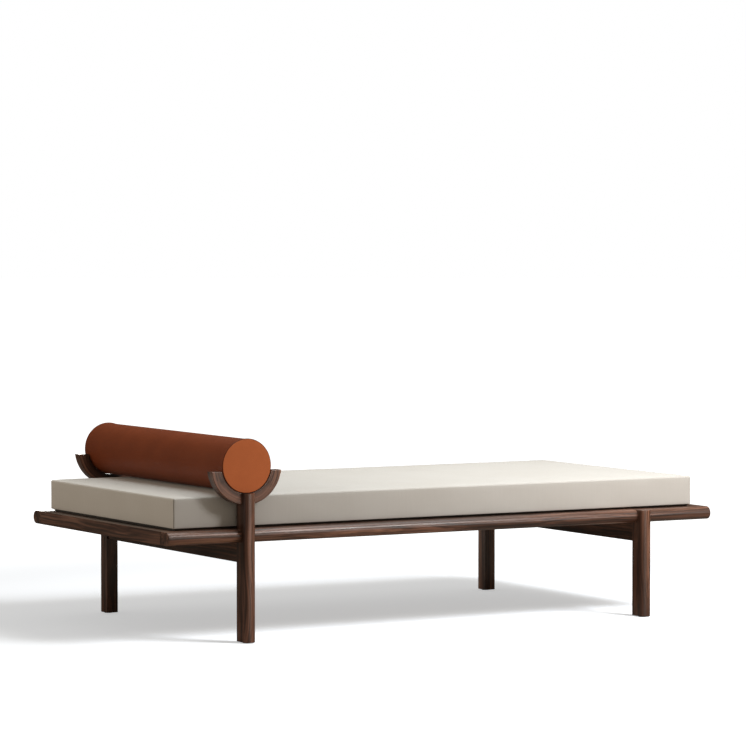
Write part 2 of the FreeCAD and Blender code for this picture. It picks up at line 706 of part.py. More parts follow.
# -------------------------------------------------------------------------- the daybed
def build():
    """Make every sub-part and return them all."""
    made = []
    for side, turn in FRONT_AND_REAR:
        made.append(side_rail("side_rail_" + side, turn))
        made.append(cleat("cleat_" + side, turn))
        made.append(cradle("bolster_cradle_" + side, turn))
    for end, turn in HEAD_AND_FOOT:
        made.append(end_rail("end_rail_" + end, turn))
        made.append(cross_beam("cross_beam_" + end, turn))
    for side, sign in (("front", "-1"), ("rear", "1")):
        turn = 90.0 if side == "front" else -90.0
        across = sign + " * dim.leg_back"
        middle = sign + " * (dim.leg_back + dim.leg_depth / 2)"
        made.append(leg("head_leg_" + side, "dim.cradle_centre", True, "-dim.leg_centre", across, turn))
        made.append(leg("foot_leg_" + side, "dim.rail_top", False, "dim.leg_centre", across, turn))
        made.append(glide("glide_head_" + side, "-dim.leg_centre", middle))
        made.append(glide("glide_foot_" + side, "dim.leg_centre", middle))
    made.append(centre_support("centre_support"))
    for number, along in enumerate(slat_formulas(), start=1):
        made.append(slat("slat_%02d" % number, along))
    made += bolster()
    made += mattress()
    made += fastenings()
    return made


def check(made):
    """Stop if any object of the document failed, or a sub-part has no sound solid."""
    doc.recompute()
    for item in doc.Objects:
        if "Invalid" in item.State or "Error" in item.State:
            raise RuntimeError(item.Name + " did not build")
    for item in made:
        if item.Shape.isNull() or not item.Shape.isValid() or not item.Shape.Solids:
            raise RuntimeError(item.Label + " has no sound solid")


def write(made):
    os.makedirs("parts", exist_ok=True)
    for item in made:
        item.Shape.exportStep(os.path.join("parts", item.Label + ".step"))


sub_parts = build()
check(sub_parts)
write(sub_parts)
print(len(sub_parts), "sub-parts written")
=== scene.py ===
"""Finish of a daybed: oiled walnut frame, beech slats, a covered foam mattress and a leather bolster."""
import math

import bpy
import numpy as np
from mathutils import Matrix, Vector


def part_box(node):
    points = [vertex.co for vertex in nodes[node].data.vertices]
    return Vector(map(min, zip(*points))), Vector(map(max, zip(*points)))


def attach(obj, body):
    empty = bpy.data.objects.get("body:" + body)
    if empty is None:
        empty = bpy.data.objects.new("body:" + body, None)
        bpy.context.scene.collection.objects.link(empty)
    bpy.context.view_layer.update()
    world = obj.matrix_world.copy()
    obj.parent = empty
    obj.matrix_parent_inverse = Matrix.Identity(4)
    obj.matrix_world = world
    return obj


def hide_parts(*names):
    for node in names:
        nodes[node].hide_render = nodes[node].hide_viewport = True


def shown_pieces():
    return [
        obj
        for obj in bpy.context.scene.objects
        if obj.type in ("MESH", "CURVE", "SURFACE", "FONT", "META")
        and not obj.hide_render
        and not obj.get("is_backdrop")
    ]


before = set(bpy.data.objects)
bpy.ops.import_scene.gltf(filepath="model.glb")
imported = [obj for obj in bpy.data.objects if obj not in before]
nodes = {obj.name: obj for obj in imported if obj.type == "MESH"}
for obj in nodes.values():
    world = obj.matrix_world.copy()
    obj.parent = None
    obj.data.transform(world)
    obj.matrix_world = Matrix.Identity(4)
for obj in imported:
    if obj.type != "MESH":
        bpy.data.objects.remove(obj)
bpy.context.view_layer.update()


# ---------------------------------------------------------------- wiring of the finishes
def add(tree, kind, inputs=None, **settings):
    """A node with its settings made and its inputs wired or set."""
    made = tree.nodes.new(kind)
    for name, value in settings.items():
        setattr(made, name, value)
    for socket, value in (inputs or {}).items():
        if isinstance(value, bpy.types.NodeSocket):
            tree.links.new(value, made.inputs[socket])
        else:
            made.inputs[socket].default_value = value
    return made


def calc(tree, operation, first, second=0.0, third=0.0, clamp=False):
    inputs = {0: first, 1: second, 2: third}
    return add(tree, "ShaderNodeMath", inputs, operation=operation, use_clamp=clamp).outputs[0]


def between(tree, share, first, second, mode="MIX"):
    """first turning into second as share goes from 0 to 1."""
    inputs = {0: share, 6: first, 7: second}
    return add(tree, "ShaderNodeMix", inputs, data_type="RGBA", blend_type=mode).outputs[2]


def step(tree, value, low, high, bottom=0.0, top=1.0):
    """A smooth rise from bottom to top as value goes from low to high."""
    inputs = {0: value, 1: low, 2: high, 3: bottom, 4: top}
    return add(tree, "ShaderNodeMapRange", inputs, interpolation_type="SMOOTHSTEP").outputs[0]


def stretched(tree, vector, along, across, depth):
    """A place in metres turned into pattern repeats, so many per metre each way."""
    inputs = {0: vector, 1: (along, across, depth)}
    return add(tree, "ShaderNodeVectorMath", inputs, operation="MULTIPLY").outputs[0]


def mottle(tree, vector, detail=3.0, roughness=0.55, distortion=0.0):
    """Uneven patches, about 0.3 to 0.7."""
    inputs = {"Vector": vector, "Scale": 1.0, "Detail": detail, "Roughness": roughness, "Distortion": distortion}
    return add(tree, "ShaderNodeTexNoise", inputs).outputs[0]


def grey(tree, shade):
    return add(tree, "ShaderNodeCombineColor", {0: shade, 1: shade, 2: shade}).outputs[0]


def shared(name, inputs, outputs):
    """An empty shader group with named sockets: the tree, its inputs and its outputs."""
    tree = bpy.data.node_groups.new(name, "ShaderNodeTree")
    for label, kind, value in inputs:
        made = tree.interface.new_socket(label, in_out="INPUT", socket_type="NodeSocket" + kind)
        if value is not None:
            made.default_value = value
    for label, kind in outputs:
        tree.interface.new_socket(label, in_out="OUTPUT", socket_type="NodeSocket" + kind)
    return tree, tree.nodes.new("NodeGroupInput").outputs, tree.nodes.new("NodeGroupOutput").inputs


def timber_figure():
    """Growth bands, streaks and open pores, with the grain along X of the vector given."""
    tree, given, wanted = shared(
        "timber_figure",
        [("Vector", "Vector", None), ("Pale", "Color", (0.3, 0.17, 0.1, 1)),
         ("Heart", "Color", (0.17, 0.085, 0.05, 1)), ("Dark", "Color", (0.07, 0.035, 0.022, 1)),
         ("Bands", "Float", 24.0), ("Contrast", "Float", 1.0), ("Pores", "Float", 0.5)],
        [("Color", "Color"), ("Gloss", "Float"), ("Height", "Float")],
    )
    place = given["Vector"]
    wander = mottle(tree, stretched(tree, place, 1.3, 5.0, 5.0), 2.0)
    offset = calc(tree, "MULTIPLY", calc(tree, "SUBTRACT", wander, 0.5), 0.10)
    apart = add(tree, "ShaderNodeSeparateXYZ", {0: place}).outputs
    along = calc(tree, "MULTIPLY", apart[0], 0.9)
    across = calc(tree, "MULTIPLY", calc(tree, "ADD", apart[1], offset), given["Bands"])
    depth = calc(tree, "MULTIPLY", calc(tree, "ADD", apart[2], offset), given["Bands"])
    banded = add(tree, "ShaderNodeCombineXYZ", {0: along, 1: across, 2: depth}).outputs[0]
    bands = mottle(tree, banded, 3.0, 0.5)
    lines = mottle(tree, stretched(tree, banded, 2.2, 6.5, 6.5), 3.0, 0.6)
    streaks = mottle(tree, stretched(tree, place, 12.0, 420.0, 420.0), 2.0, 0.6)
    pore = step(tree, mottle(tree, stretched(tree, place, 60.0, 1400.0, 1400.0), 1.0), 0.60, 0.70)
    pore = calc(tree, "MULTIPLY", pore, given["Pores"])
    colour = between(tree, step(tree, bands, 0.34, 0.56), given["Dark"], given["Heart"])
    colour = between(tree, step(tree, bands, 0.52, 0.74), colour, given["Pale"])
    lined = calc(tree, "MULTIPLY", step(tree, lines, 0.32, 0.68, -0.72, 0.50), given["Contrast"])
    shade = calc(tree, "ADD", calc(tree, "ADD", lined, 1.0), calc(tree, "MULTIPLY", streaks, 0.30))
    shade = calc(tree, "SUBTRACT", calc(tree, "SUBTRACT", shade, 0.07), calc(tree, "MULTIPLY", pore, 0.35))
    tree.links.new(between(tree, 1.0, colour, grey(tree, shade), "MULTIPLY"), wanted["Color"])
    dull = calc(tree, "ADD", calc(tree, "MULTIPLY", lines, 0.5), calc(tree, "MULTIPLY", pore, 0.5))
    tree.links.new(dull, wanted["Gloss"])
    height = calc(tree, "SUBTRACT", calc(tree, "MULTIPLY", streaks, 0.5), pore)
    tree.links.new(height, wanted["Height"])
    return tree


def worn_edges():
    """A mask that is 1 on rubbed outer edges, broken up along their length."""
    sockets = [("Vector", "Vector", None), ("Breadth", "Float", 0.0015)]
    tree, given, wanted = shared("worn_edges", sockets, [("Edge", "Float")])
    soft = add(tree, "ShaderNodeBevel", {"Radius": given["Breadth"]}, samples=4).outputs[0]
    true = add(tree, "ShaderNodeNewGeometry").outputs["Normal"]
    turned = add(tree, "ShaderNodeVectorMath", {0: soft, 1: true}, operation="DOT_PRODUCT").outputs["Value"]
    edge = step(tree, turned, 0.995, 0.90)
    patches = mottle(tree, stretched(tree, given["Vector"], 30.0, 30.0, 30.0))
    broken = step(tree, patches, 0.35, 0.65, 0.35, 1.0)
    tree.links.new(calc(tree, "MULTIPLY", edge, broken), wanted["Edge"])
    return tree


def hand_marks():
    """Slow unevenness left by oiling, handling and dust, stronger on surfaces that face up."""
    tree, given, wanted = shared(
        "hand_marks", [("Vector", "Vector", None)], [("Dull", "Float"), ("Dust", "Float")])
    slow = mottle(tree, stretched(tree, given["Vector"], 6.0, 9.0, 9.0), 4.0, 0.6)
    speck = mottle(tree, stretched(tree, given["Vector"], 90.0, 90.0, 90.0), 2.0, 0.6)
    normal = add(tree, "ShaderNodeNewGeometry").outputs["Normal"]
    facing = add(tree, "ShaderNodeSeparateXYZ", {0: normal}).outputs[2]
    up = step(tree, facing, 0.4, 1.0)
    tree.links.new(step(tree, slow, 0.3, 0.7), wanted["Dull"])
    settled_dust = step(tree, calc(tree, "MULTIPLY", slow, speck), 0.15, 0.4)
    tree.links.new(calc(tree, "MULTIPLY", up, settled_dust), wanted["Dust"])
    return tree


def plain_weave():
    """Over-and-under threads with slubs, on a vector laid out in metres."""
    tree, given, wanted = shared(
        "plain_weave",
        [("Vector", "Vector", None), ("Threads", "Float", 900.0), ("Slub", "Float", 0.5)],
        [("Shade", "Float"), ("Height", "Float")],
    )
    apart = add(tree, "ShaderNodeSeparateXYZ", {0: given["Vector"]}).outputs
    across = calc(tree, "MULTIPLY", apart[0], given["Threads"])
    up = calc(tree, "MULTIPLY", apart[1], given["Threads"])
    warp = calc(tree, "ABSOLUTE", calc(tree, "SINE", calc(tree, "MULTIPLY", across, math.pi)))
    weft = calc(tree, "ABSOLUTE", calc(tree, "SINE", calc(tree, "MULTIPLY", up, math.pi)))
    thread = calc(tree, "ADD", calc(tree, "FLOOR", across), calc(tree, "FLOOR", up))
    over = calc(tree, "PINGPONG", thread, 1.0)
    warp_top = calc(tree, "MULTIPLY", warp, calc(tree, "ADD", 0.6, calc(tree, "MULTIPLY", over, 0.4)))
    weft_top = calc(tree, "MULTIPLY", weft, calc(tree, "SUBTRACT", 1.0, calc(tree, "MULTIPLY", over, 0.4)))
    height = calc(tree, "MAXIMUM", warp_top, weft_top)
    slub_up = mottle(tree, stretched(tree, given["Vector"], 190.0, 5.0, 1.0), 2.0, 0.6)
    slub_across = mottle(tree, stretched(tree, given["Vector"], 6.0, 260.0, 1.0), 2.0, 0.6)
    slub = calc(tree, "ADD", calc(tree, "MULTIPLY", slub_up, 0.7), calc(tree, "MULTIPLY", slub_across, 0.3))
    slub = calc(tree, "MULTIPLY", calc(tree, "SUBTRACT", slub, 0.5), given["Slub"])
    tree.links.new(calc(tree, "ADD", height, slub), wanted["Height"])
    shade = calc(tree, "ADD", calc(tree, "MULTIPLY", height, 0.08), calc(tree, "MULTIPLY", slub, 0.22))
    tree.links.new(calc(tree, "ADD", shade, 0.93), wanted["Shade"])
    return tree


def hide_grain():
    """Pebbles, creases and slow colour drift of a finished hide."""
    tree, given, wanted = shared(
        "hide_grain",
        [("Vector", "Vector", None), ("Full", "Color", (0.4, 0.12, 0.05, 1)),
         ("Deep", "Color", (0.25, 0.07, 0.03, 1)), ("Pebbles", "Float", 620.0)],
        [("Color", "Color"), ("Gloss", "Float"), ("Height", "Float")],
    )
    patches = mottle(tree, stretched(tree, given["Vector"], 60.0, 60.0, 60.0), 2.0)
    start = {0: given["Vector"], 1: (0.002, 0.002, 0.002)}
    start = add(tree, "ShaderNodeVectorMath", start, operation="ADD").outputs[0]
    cells = add(tree, "ShaderNodeTexVoronoi", {"Vector": start, "Scale": given["Pebbles"]},
                feature="DISTANCE_TO_EDGE")
    pebble = step(tree, cells.outputs["Distance"], 0.0, 0.22)
    folds = mottle(tree, stretched(tree, given["Vector"], 70.0, 70.0, 70.0), 4.0, 0.65, distortion=0.8)
    crease = step(tree, folds, 0.40, 0.52)
    slow = mottle(tree, stretched(tree, given["Vector"], 9.0, 9.0, 9.0), 4.0, 0.6)
    fine = mottle(tree, stretched(tree, given["Vector"], 300.0, 300.0, 300.0), 2.0, 0.6)
    tone = calc(tree, "ADD", calc(tree, "MULTIPLY", slow, 0.75), calc(tree, "MULTIPLY", patches, 0.25))
    colour = between(tree, step(tree, tone, 0.32, 0.68), given["Deep"], given["Full"])
    shade = calc(tree, "ADD", 0.90, calc(tree, "MULTIPLY", pebble, 0.10))
    shade = calc(tree, "MULTIPLY", shade, calc(tree, "ADD", 0.94, calc(tree, "MULTIPLY", fine, 0.12)))
    tree.links.new(between(tree, 1.0, colour, grey(tree, shade), "MULTIPLY"), wanted["Color"])
    tree.links.new(calc(tree, "SUBTRACT", 1.0, calc(tree, "MULTIPLY", pebble, 0.6)), wanted["Gloss"])
    tree.links.new(calc(tree, "ADD", pebble, calc(tree, "MULTIPLY", crease, 0.6)), wanted["Height"])
    return tree


FIGURE = timber_figure()
WORN = worn_edges()
MARKS = hand_marks()
WEAVE = plain_weave()
HIDE = hide_grain()


# ---------------------------------------------------------------- finishes
def finish_named(name):
    made = bpy.data.materials.new(name)
    made.use_nodes = True
    tree = made.node_tree
    return made, tree, tree.nodes["Principled BSDF"]


def use(tree, group, inputs):
    return add(tree, "ShaderNodeGroup", inputs, node_tree=group).outputs


def object_place(tree):
    return add(tree, "ShaderNodeTexCoord").outputs["Object"]


def raised(tree, height, distance, strength):
    inputs = {"Height": height, "Distance": distance, "Strength": strength}
    return add(tree, "ShaderNodeBump", inputs).outputs[0]


QUARTER = math.pi / 2
TURNED = {"X": (0.0, 0.0, 0.0), "Y": (0.0, 0.0, QUARTER), "Z": (0.0, QUARTER, 0.0), "round": (0.0, 0.0, 0.0)}
BENT_AT = 0.104         # radius of the middle of a cradle, which its grain follows
WALNUT = ((0.205, 0.104, 0.066), (0.104, 0.046, 0.028), (0.034, 0.014, 0.0085))
BEECH = ((0.56, 0.41, 0.26), (0.49, 0.345, 0.21), (0.40, 0.265, 0.155))
DUST = (0.62, 0.57, 0.50, 1.0)
PLAIN = {"bands": 18.0, "contrast": 0.22, "pores": 0.25, "gloss": (0.5, 0.65), "coat": 0.0}


def unrolled(tree, place, hub):
    """A place measured round a hub: along the bend, across its width, and out from the hub."""
    apart = add(tree, "ShaderNodeSeparateXYZ", {0: place}).outputs
    out = calc(tree, "SUBTRACT", apart[0], hub[0])
    up = calc(tree, "SUBTRACT", apart[2], hub[1])
    angle = calc(tree, "ARCTAN2", out, calc(tree, "MULTIPLY", up, -1.0))
    squares = calc(tree, "ADD", calc(tree, "MULTIPLY", out, out), calc(tree, "MULTIPLY", up, up))
    laid = {0: calc(tree, "MULTIPLY", angle, BENT_AT), 1: apart[1], 2: calc(tree, "SQRT", squares)}
    return add(tree, "ShaderNodeCombineXYZ", laid).outputs[0]


def timber(name, grain, colours, bands=24.0, contrast=1.0, pores=0.5, gloss=(0.27, 0.46), coat=0.14,
           shift=(0.0, 0.0, 0.0), hub=None):
    """A hand-finished timber with its grain along X, Y or Z, or round a hub for a bent piece."""
    made, tree, shader = finish_named(name)
    place = object_place(tree)
    if grain == "round":
        place = unrolled(tree, place, hub)
    laid = {"Vector": place, "Location": shift, "Rotation": TURNED[grain]}
    place = add(tree, "ShaderNodeMapping", laid).outputs[0]
    pale, heart, dark = [(*c, 1.0) for c in colours]
    figure = use(tree, FIGURE, {"Vector": place, "Pale": pale, "Heart": heart, "Dark": dark, "Bands": bands,
                                "Contrast": contrast, "Pores": pores})
    edge = use(tree, WORN, {"Vector": place, "Breadth": 0.0016})["Edge"]
    marks = use(tree, MARKS, {"Vector": place})
    colour = between(tree, calc(tree, "MULTIPLY", edge, 0.22), figure["Color"], pale)
    colour = between(tree, calc(tree, "MULTIPLY", marks["Dust"], 0.035), colour, DUST)
    tree.links.new(colour, shader.inputs["Base Color"])
    low, high = gloss
    rough = calc(tree, "ADD", low, calc(tree, "MULTIPLY", figure["Gloss"], (high - low) * 0.7))
    rough = calc(tree, "ADD", rough, calc(tree, "MULTIPLY", marks["Dull"], (high - low) * 0.3))
    tree.links.new(rough, shader.inputs["Roughness"])
    oiled = calc(tree, "MULTIPLY", calc(tree, "SUBTRACT", 1.0, marks["Dull"]), coat)
    tree.links.new(oiled, shader.inputs["Coat Weight"])
    shader.inputs["Coat Roughness"].default_value = 0.22
    shader.inputs["IOR"].default_value = 1.43
    tree.links.new(raised(tree, figure["Height"], 0.0003, 0.25), shader.inputs["Normal"])
    return made


def cover_cloth(name):
    """Off-white woven cover, with painted shade along its upright corner seams and on the tucked strip under its
    lower edge.
    """
    made, tree, shader = finish_named(name)
    laid = add(tree, "ShaderNodeUVMap", uv_map="cloth").outputs[0]
    weave = use(tree, WEAVE, {"Vector": laid, "Threads": 900.0, "Slub": 0.5})
    slow = mottle(tree, stretched(tree, object_place(tree), 5.0, 5.0, 5.0), 3.0, 0.6)
    colour = between(tree, step(tree, slow, 0.3, 0.7), (0.492, 0.480, 0.456, 1.0), (0.508, 0.498, 0.477, 1.0))
    colour = between(tree, 1.0, colour, grey(tree, weave["Shade"]), "MULTIPLY")
    seam = add(tree, "ShaderNodeAttribute", attribute_name="seam").outputs["Fac"]
    # Painted shade: the seam attribute turns the cloth near black in the upright corner seams and on the tucked
    # strip at the foot, where the shadow gap lies.
    colour = between(tree, calc(tree, "MULTIPLY", seam, 0.96), colour, (0.024, 0.021, 0.018, 1.0))
    tree.links.new(colour, shader.inputs["Base Color"])
    rough = calc(tree, "ADD", 0.78, calc(tree, "MULTIPLY", weave["Height"], 0.12))
    tree.links.new(rough, shader.inputs["Roughness"])
    shader.inputs["Sheen Weight"].default_value = 0.12
    shader.inputs["Sheen Roughness"].default_value = 0.5
    shader.inputs["Specular IOR Level"].default_value = 0.25
    tree.links.new(raised(tree, weave["Height"], 0.00025, 0.35), shader.inputs["Normal"])
    return made


def seam_thread(name, colour):
    """Twisted thread."""
    made, tree, shader = finish_named(name)
    twist = mottle(tree, stretched(tree, object_place(tree), 900.0, 900.0, 900.0), 2.0)
    shade = between(tree, twist, tuple(c * 0.7 for c in colour) + (1.0,), (*colour, 1.0))
    tree.links.new(shade, shader.inputs["Base Color"])
    shader.inputs["Roughness"].default_value = 0.7
    tree.links.new(raised(tree, twist, 0.0002, 0.4), shader.inputs["Normal"])
    return made


def leather(name, full, deep, gloss=0.50):
    """Aniline hide with a soft sheen, lighter where it is rubbed, with painted shade at its sewn rims."""
    made, tree, shader = finish_named(name)
    place = object_place(tree)
    hide = use(tree, HIDE, {"Vector": place, "Full": (*full, 1.0), "Deep": (*deep, 1.0), "Pebbles": 620.0})
    edge = use(tree, WORN, {"Vector": place, "Breadth": 0.0015})["Edge"]
    worn = tuple(min(1.0, c * 1.35) for c in full) + (1.0,)
    seam = add(tree, "ShaderNodeAttribute", attribute_name="seam").outputs["Fac"]
    colour = between(tree, calc(tree, "MULTIPLY", edge, 0.25), hide["Color"], worn)
    # Painted shade: near black where the seam attribute is high, for the shadow in the gap between end panel and
    # cradle.
    painted_gap_shade = tuple(c * 0.10 for c in deep) + (1.0,)
    with_gap_shade = between(tree, calc(tree, "MULTIPLY", seam, 0.9), colour, painted_gap_shade)
    tree.links.new(with_gap_shade, shader.inputs["Base Color"])
    rough = calc(tree, "ADD", gloss - 0.06, calc(tree, "MULTIPLY", hide["Gloss"], 0.16))
    tree.links.new(rough, shader.inputs["Roughness"])
    shader.inputs["Specular IOR Level"].default_value = 0.18
    tree.links.new(raised(tree, hide["Height"], 0.00025, 0.30), shader.inputs["Normal"])
    return made


def moulded(name, colour):
    """Moulded plastic, matt, greyed at its rubbed edges."""
    made, tree, shader = finish_named(name)
    place = object_place(tree)
    fine = mottle(tree, stretched(tree, place, 700.0, 700.0, 700.0), 2.0)
    edge = use(tree, WORN, {"Vector": place, "Breadth": 0.0006})["Edge"]
    shade = between(tree, fine, tuple(c * 0.75 for c in colour) + (1.0,), (*colour, 1.0))
    rubbed = between(tree, calc(tree, "MULTIPLY", edge, 0.4), shade, (0.16, 0.15, 0.14, 1.0))
    tree.links.new(rubbed, shader.inputs["Base Color"])
    tree.links.new(step(tree, fine, 0.2, 0.8, 0.45, 0.62), shader.inputs["Roughness"])
    tree.links.new(raised(tree, fine, 0.0001, 0.3), shader.inputs["Normal"])
    return made


def plated_steel(name):
    """Plated steel with faint drawing marks, bright at its edges."""
    made, tree, shader = finish_named(name)
    place = object_place(tree)
    marks = mottle(tree, stretched(tree, place, 260.0, 260.0, 900.0), 3.0, 0.6)
    edge = use(tree, WORN, {"Vector": place, "Breadth": 0.0005})["Edge"]
    shade = between(tree, marks, (0.46, 0.45, 0.43, 1.0), (0.66, 0.65, 0.63, 1.0))
    tree.links.new(between(tree, edge, shade, (0.78, 0.77, 0.75, 1.0)), shader.inputs["Base Color"])
    shader.inputs["Metallic"].default_value = 1.0
    tree.links.new(step(tree, marks, 0.2, 0.8, 0.24, 0.42), shader.inputs["Roughness"])
    tree.links.new(raised(tree, marks, 0.00005, 0.3), shader.inputs["Normal"])
    return made


def dress(names, material):
    """Gives the CAD nodes named this finish."""
    for name in names:
        for held in nodes[name].material_slots:
            held.material = material


roll_low, roll_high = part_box("bolster_wrap")
ROLL_X = (roll_low.x + roll_high.x) / 2
ROLL_Z = (roll_low.z + roll_high.z) / 2

dress(["side_rail_front"], timber("walnut_side_rail_front", "X", WALNUT))
dress(["side_rail_rear"], timber("walnut_side_rail_rear", "X", WALNUT, shift=(3.1, 0.7, 0.4)))
dress(["end_rail_head"], timber("walnut_end_rail_head", "Y", WALNUT, shift=(1.7, 0.3, 0.9)))
dress(["end_rail_foot"], timber("walnut_end_rail_foot", "Y", WALNUT, shift=(0.4, 1.9, 0.2)))
dress(["cross_beam_head", "cross_beam_foot"], timber("walnut_cross_beam", "Y", WALNUT, shift=(2.2, 0.1, 1.3)))
dress(["head_leg_front", "foot_leg_rear"], timber("walnut_leg_a", "Z", WALNUT, shift=(0.5, 0.2, 0.6)))
dress(["head_leg_rear", "foot_leg_front"], timber("walnut_leg_b", "Z", WALNUT, shift=(1.2, 1.4, 0.1)))
dress(["bolster_cradle_front", "bolster_cradle_rear"],
      timber("walnut_cradle", "round", WALNUT, bands=34.0, hub=(ROLL_X, ROLL_Z)))
slats = sorted(n for n in nodes if n.startswith("slat_") and n != "slat_screws")
for count, letter in enumerate("abc"):
    board = (0.9 * count, 1.3 * count, 0.7 * count)
    dress(slats[count::3], timber("beech_slat_" + letter, "Y", BEECH, shift=board, **PLAIN))
dress(["cleat_front", "cleat_rear", "centre_support"], timber("beech_bearer", "X", BEECH, **PLAIN))
dress([n for n in nodes if n.startswith("glide_")], moulded("nylon_glide", (0.060, 0.054, 0.048)))
ZINC = plated_steel("zinc_plated_screw")
dress(["slat_screws", "cleat_screws", "cradle_screws", "leg_bolts", "leg_inserts"], ZINC)


# ---------------------------------------------------------------- soft goods
def solid_from(name, corners, faces, materials, smooth=True):
    """A mesh object in the scene from its corners and faces."""
    mesh = bpy.data.meshes.new(name)
    mesh.from_pydata([tuple(c) for c in corners], [], faces)
    mesh.validate()
    mesh.update()
    for material in materials:
        mesh.materials.append(material)
    mesh.polygons.foreach_set("use_smooth", [smooth] * len(mesh.polygons))
    made = bpy.data.objects.new(name, mesh)
    bpy.context.scene.collection.objects.link(made)
    return made


def node_tree_for(name, inputs):
    """A Geometry Nodes tree with a Geometry input, the named inputs and a Geometry output."""
    tree = bpy.data.node_groups.new(name, "GeometryNodeTree")
    tree.interface.new_socket("Geometry", in_out="INPUT", socket_type="NodeSocketGeometry")
    for label, kind, value in inputs:
        made = tree.interface.new_socket(label, in_out="INPUT", socket_type="NodeSocket" + kind)
        if value is not None:
            made.default_value = value
    tree.interface.new_socket("Geometry", in_out="OUTPUT", socket_type="NodeSocketGeometry")
    return tree, tree.nodes.new("NodeGroupInput").outputs, tree.nodes.new("NodeGroupOutput").inputs


def made_by(tree, name, source, values):
    """Runs a tree on a guide mesh with these values and keeps the result as a plain mesh."""
    run = source.modifiers.new("run", "NODES")
    run.node_group = tree
    for item in tree.interface.items_tree:
        if item.item_type == "SOCKET" and item.in_out == "INPUT" and item.name in values:
            run[item.identifier] = values[item.name]
    source.update_tag()
    bpy.context.view_layer.update()
    shown = source.evaluated_get(bpy.context.evaluated_depsgraph_get())
    mesh = bpy.data.meshes.new_from_object(shown)
    mesh.name = name
    made = bpy.data.objects.new(name, mesh)
    bpy.context.scene.collection.objects.link(made)
    source.modifiers.remove(run)
    bpy.data.objects.remove(source)
    return made


def stitch_tree():
    """Stitches laid end to end along a guide line."""
    tree, given, wanted = node_tree_for(
        "row_of_stitches",
        [("Pitch", "Float", 0.0042), ("Length", "Float", 0.0034), ("Thickness", "Float", 0.0007),
         ("Thread", "Material", None)])
    line = add(tree, "GeometryNodeMeshToCurve", {"Mesh": given["Geometry"]}).outputs[0]
    spots = {"Curve": line, "Length": given["Pitch"]}
    spots = add(tree, "GeometryNodeCurveToPoints", spots, mode="LENGTH").outputs
    grain = add(tree, "GeometryNodeMeshUVSphere", {"Segments": 6, "Rings": 5, "Radius": 0.5}).outputs[0]
    shape = {0: given["Thickness"], 1: given["Thickness"], 2: given["Length"]}
    shape = add(tree, "ShaderNodeCombineXYZ", shape).outputs[0]
    grain = add(tree, "GeometryNodeTransform", {"Geometry": grain, "Scale": shape}).outputs[0]
    laid = {"Points": spots["Points"], "Instance": grain, "Rotation": spots["Rotation"]}
    laid = add(tree, "GeometryNodeInstanceOnPoints", laid).outputs[0]
    solid = add(tree, "GeometryNodeRealizeInstances", {"Geometry": laid}).outputs[0]
    smooth = add(tree, "GeometryNodeSetShadeSmooth", {"Geometry": solid}).outputs[0]
    sewn = add(tree, "GeometryNodeSetMaterial", {"Geometry": smooth, "Material": given["Thread"]}).outputs[0]
    tree.links.new(sewn, wanted[0])
    return tree


def fastener_tree():
    """One fastener driven in at each guide point, along the direction stored there."""
    tree, given, wanted = node_tree_for(
        "set_of_fasteners", [("Fastener", "Object", None), ("Size", "Float", 1.0), ("Steel", "Material", None)])
    shape = add(tree, "GeometryNodeObjectInfo", {"Object": given["Fastener"]}).outputs["Geometry"]
    way = add(tree, "GeometryNodeInputNamedAttribute", {"Name": "driven"}, data_type="FLOAT_VECTOR")
    way = way.outputs["Attribute"]
    turned = add(tree, "FunctionNodeAlignRotationToVector", {"Vector": way}, axis="Z").outputs[0]
    spread = add(tree, "FunctionNodeRandomValue", {2: 0.0, 3: math.pi, "Seed": 7}, data_type="FLOAT").outputs[1]
    spin = add(tree, "ShaderNodeCombineXYZ", {2: spread}).outputs[0]
    turned = {"Rotation": turned, "Rotate By": spin}
    turned = add(tree, "FunctionNodeRotateRotation", turned, rotation_space="LOCAL").outputs[0]
    laid = {"Points": given["Geometry"], "Instance": shape, "Rotation": turned, "Scale": given["Size"]}
    laid = add(tree, "GeometryNodeInstanceOnPoints", laid).outputs[0]
    solid = add(tree, "GeometryNodeRealizeInstances", {"Geometry": laid}).outputs[0]
    steel = add(tree, "GeometryNodeSetMaterial", {"Geometry": solid, "Material": given["Steel"]}).outputs[0]
    tree.links.new(steel, wanted[0])
    return tree


def line_guide(points, closed):
    """A line through the points for stitches to follow."""
    count = len(points)
    edges = [(k, (k + 1) % count) for k in range(count if closed else count - 1)]
    mesh = bpy.data.meshes.new("guide")
    mesh.from_pydata([tuple(p) for p in points], edges, [])
    made = bpy.data.objects.new("guide", mesh)
    bpy.context.scene.collection.objects.link(made)
    return made


AROUND = 12             # sides of a screw or bolt; every second corner makes its recess
STAR = 0.72             # inner corners of a star recess, against its points
HEXAGON = math.cos(math.pi / 6)


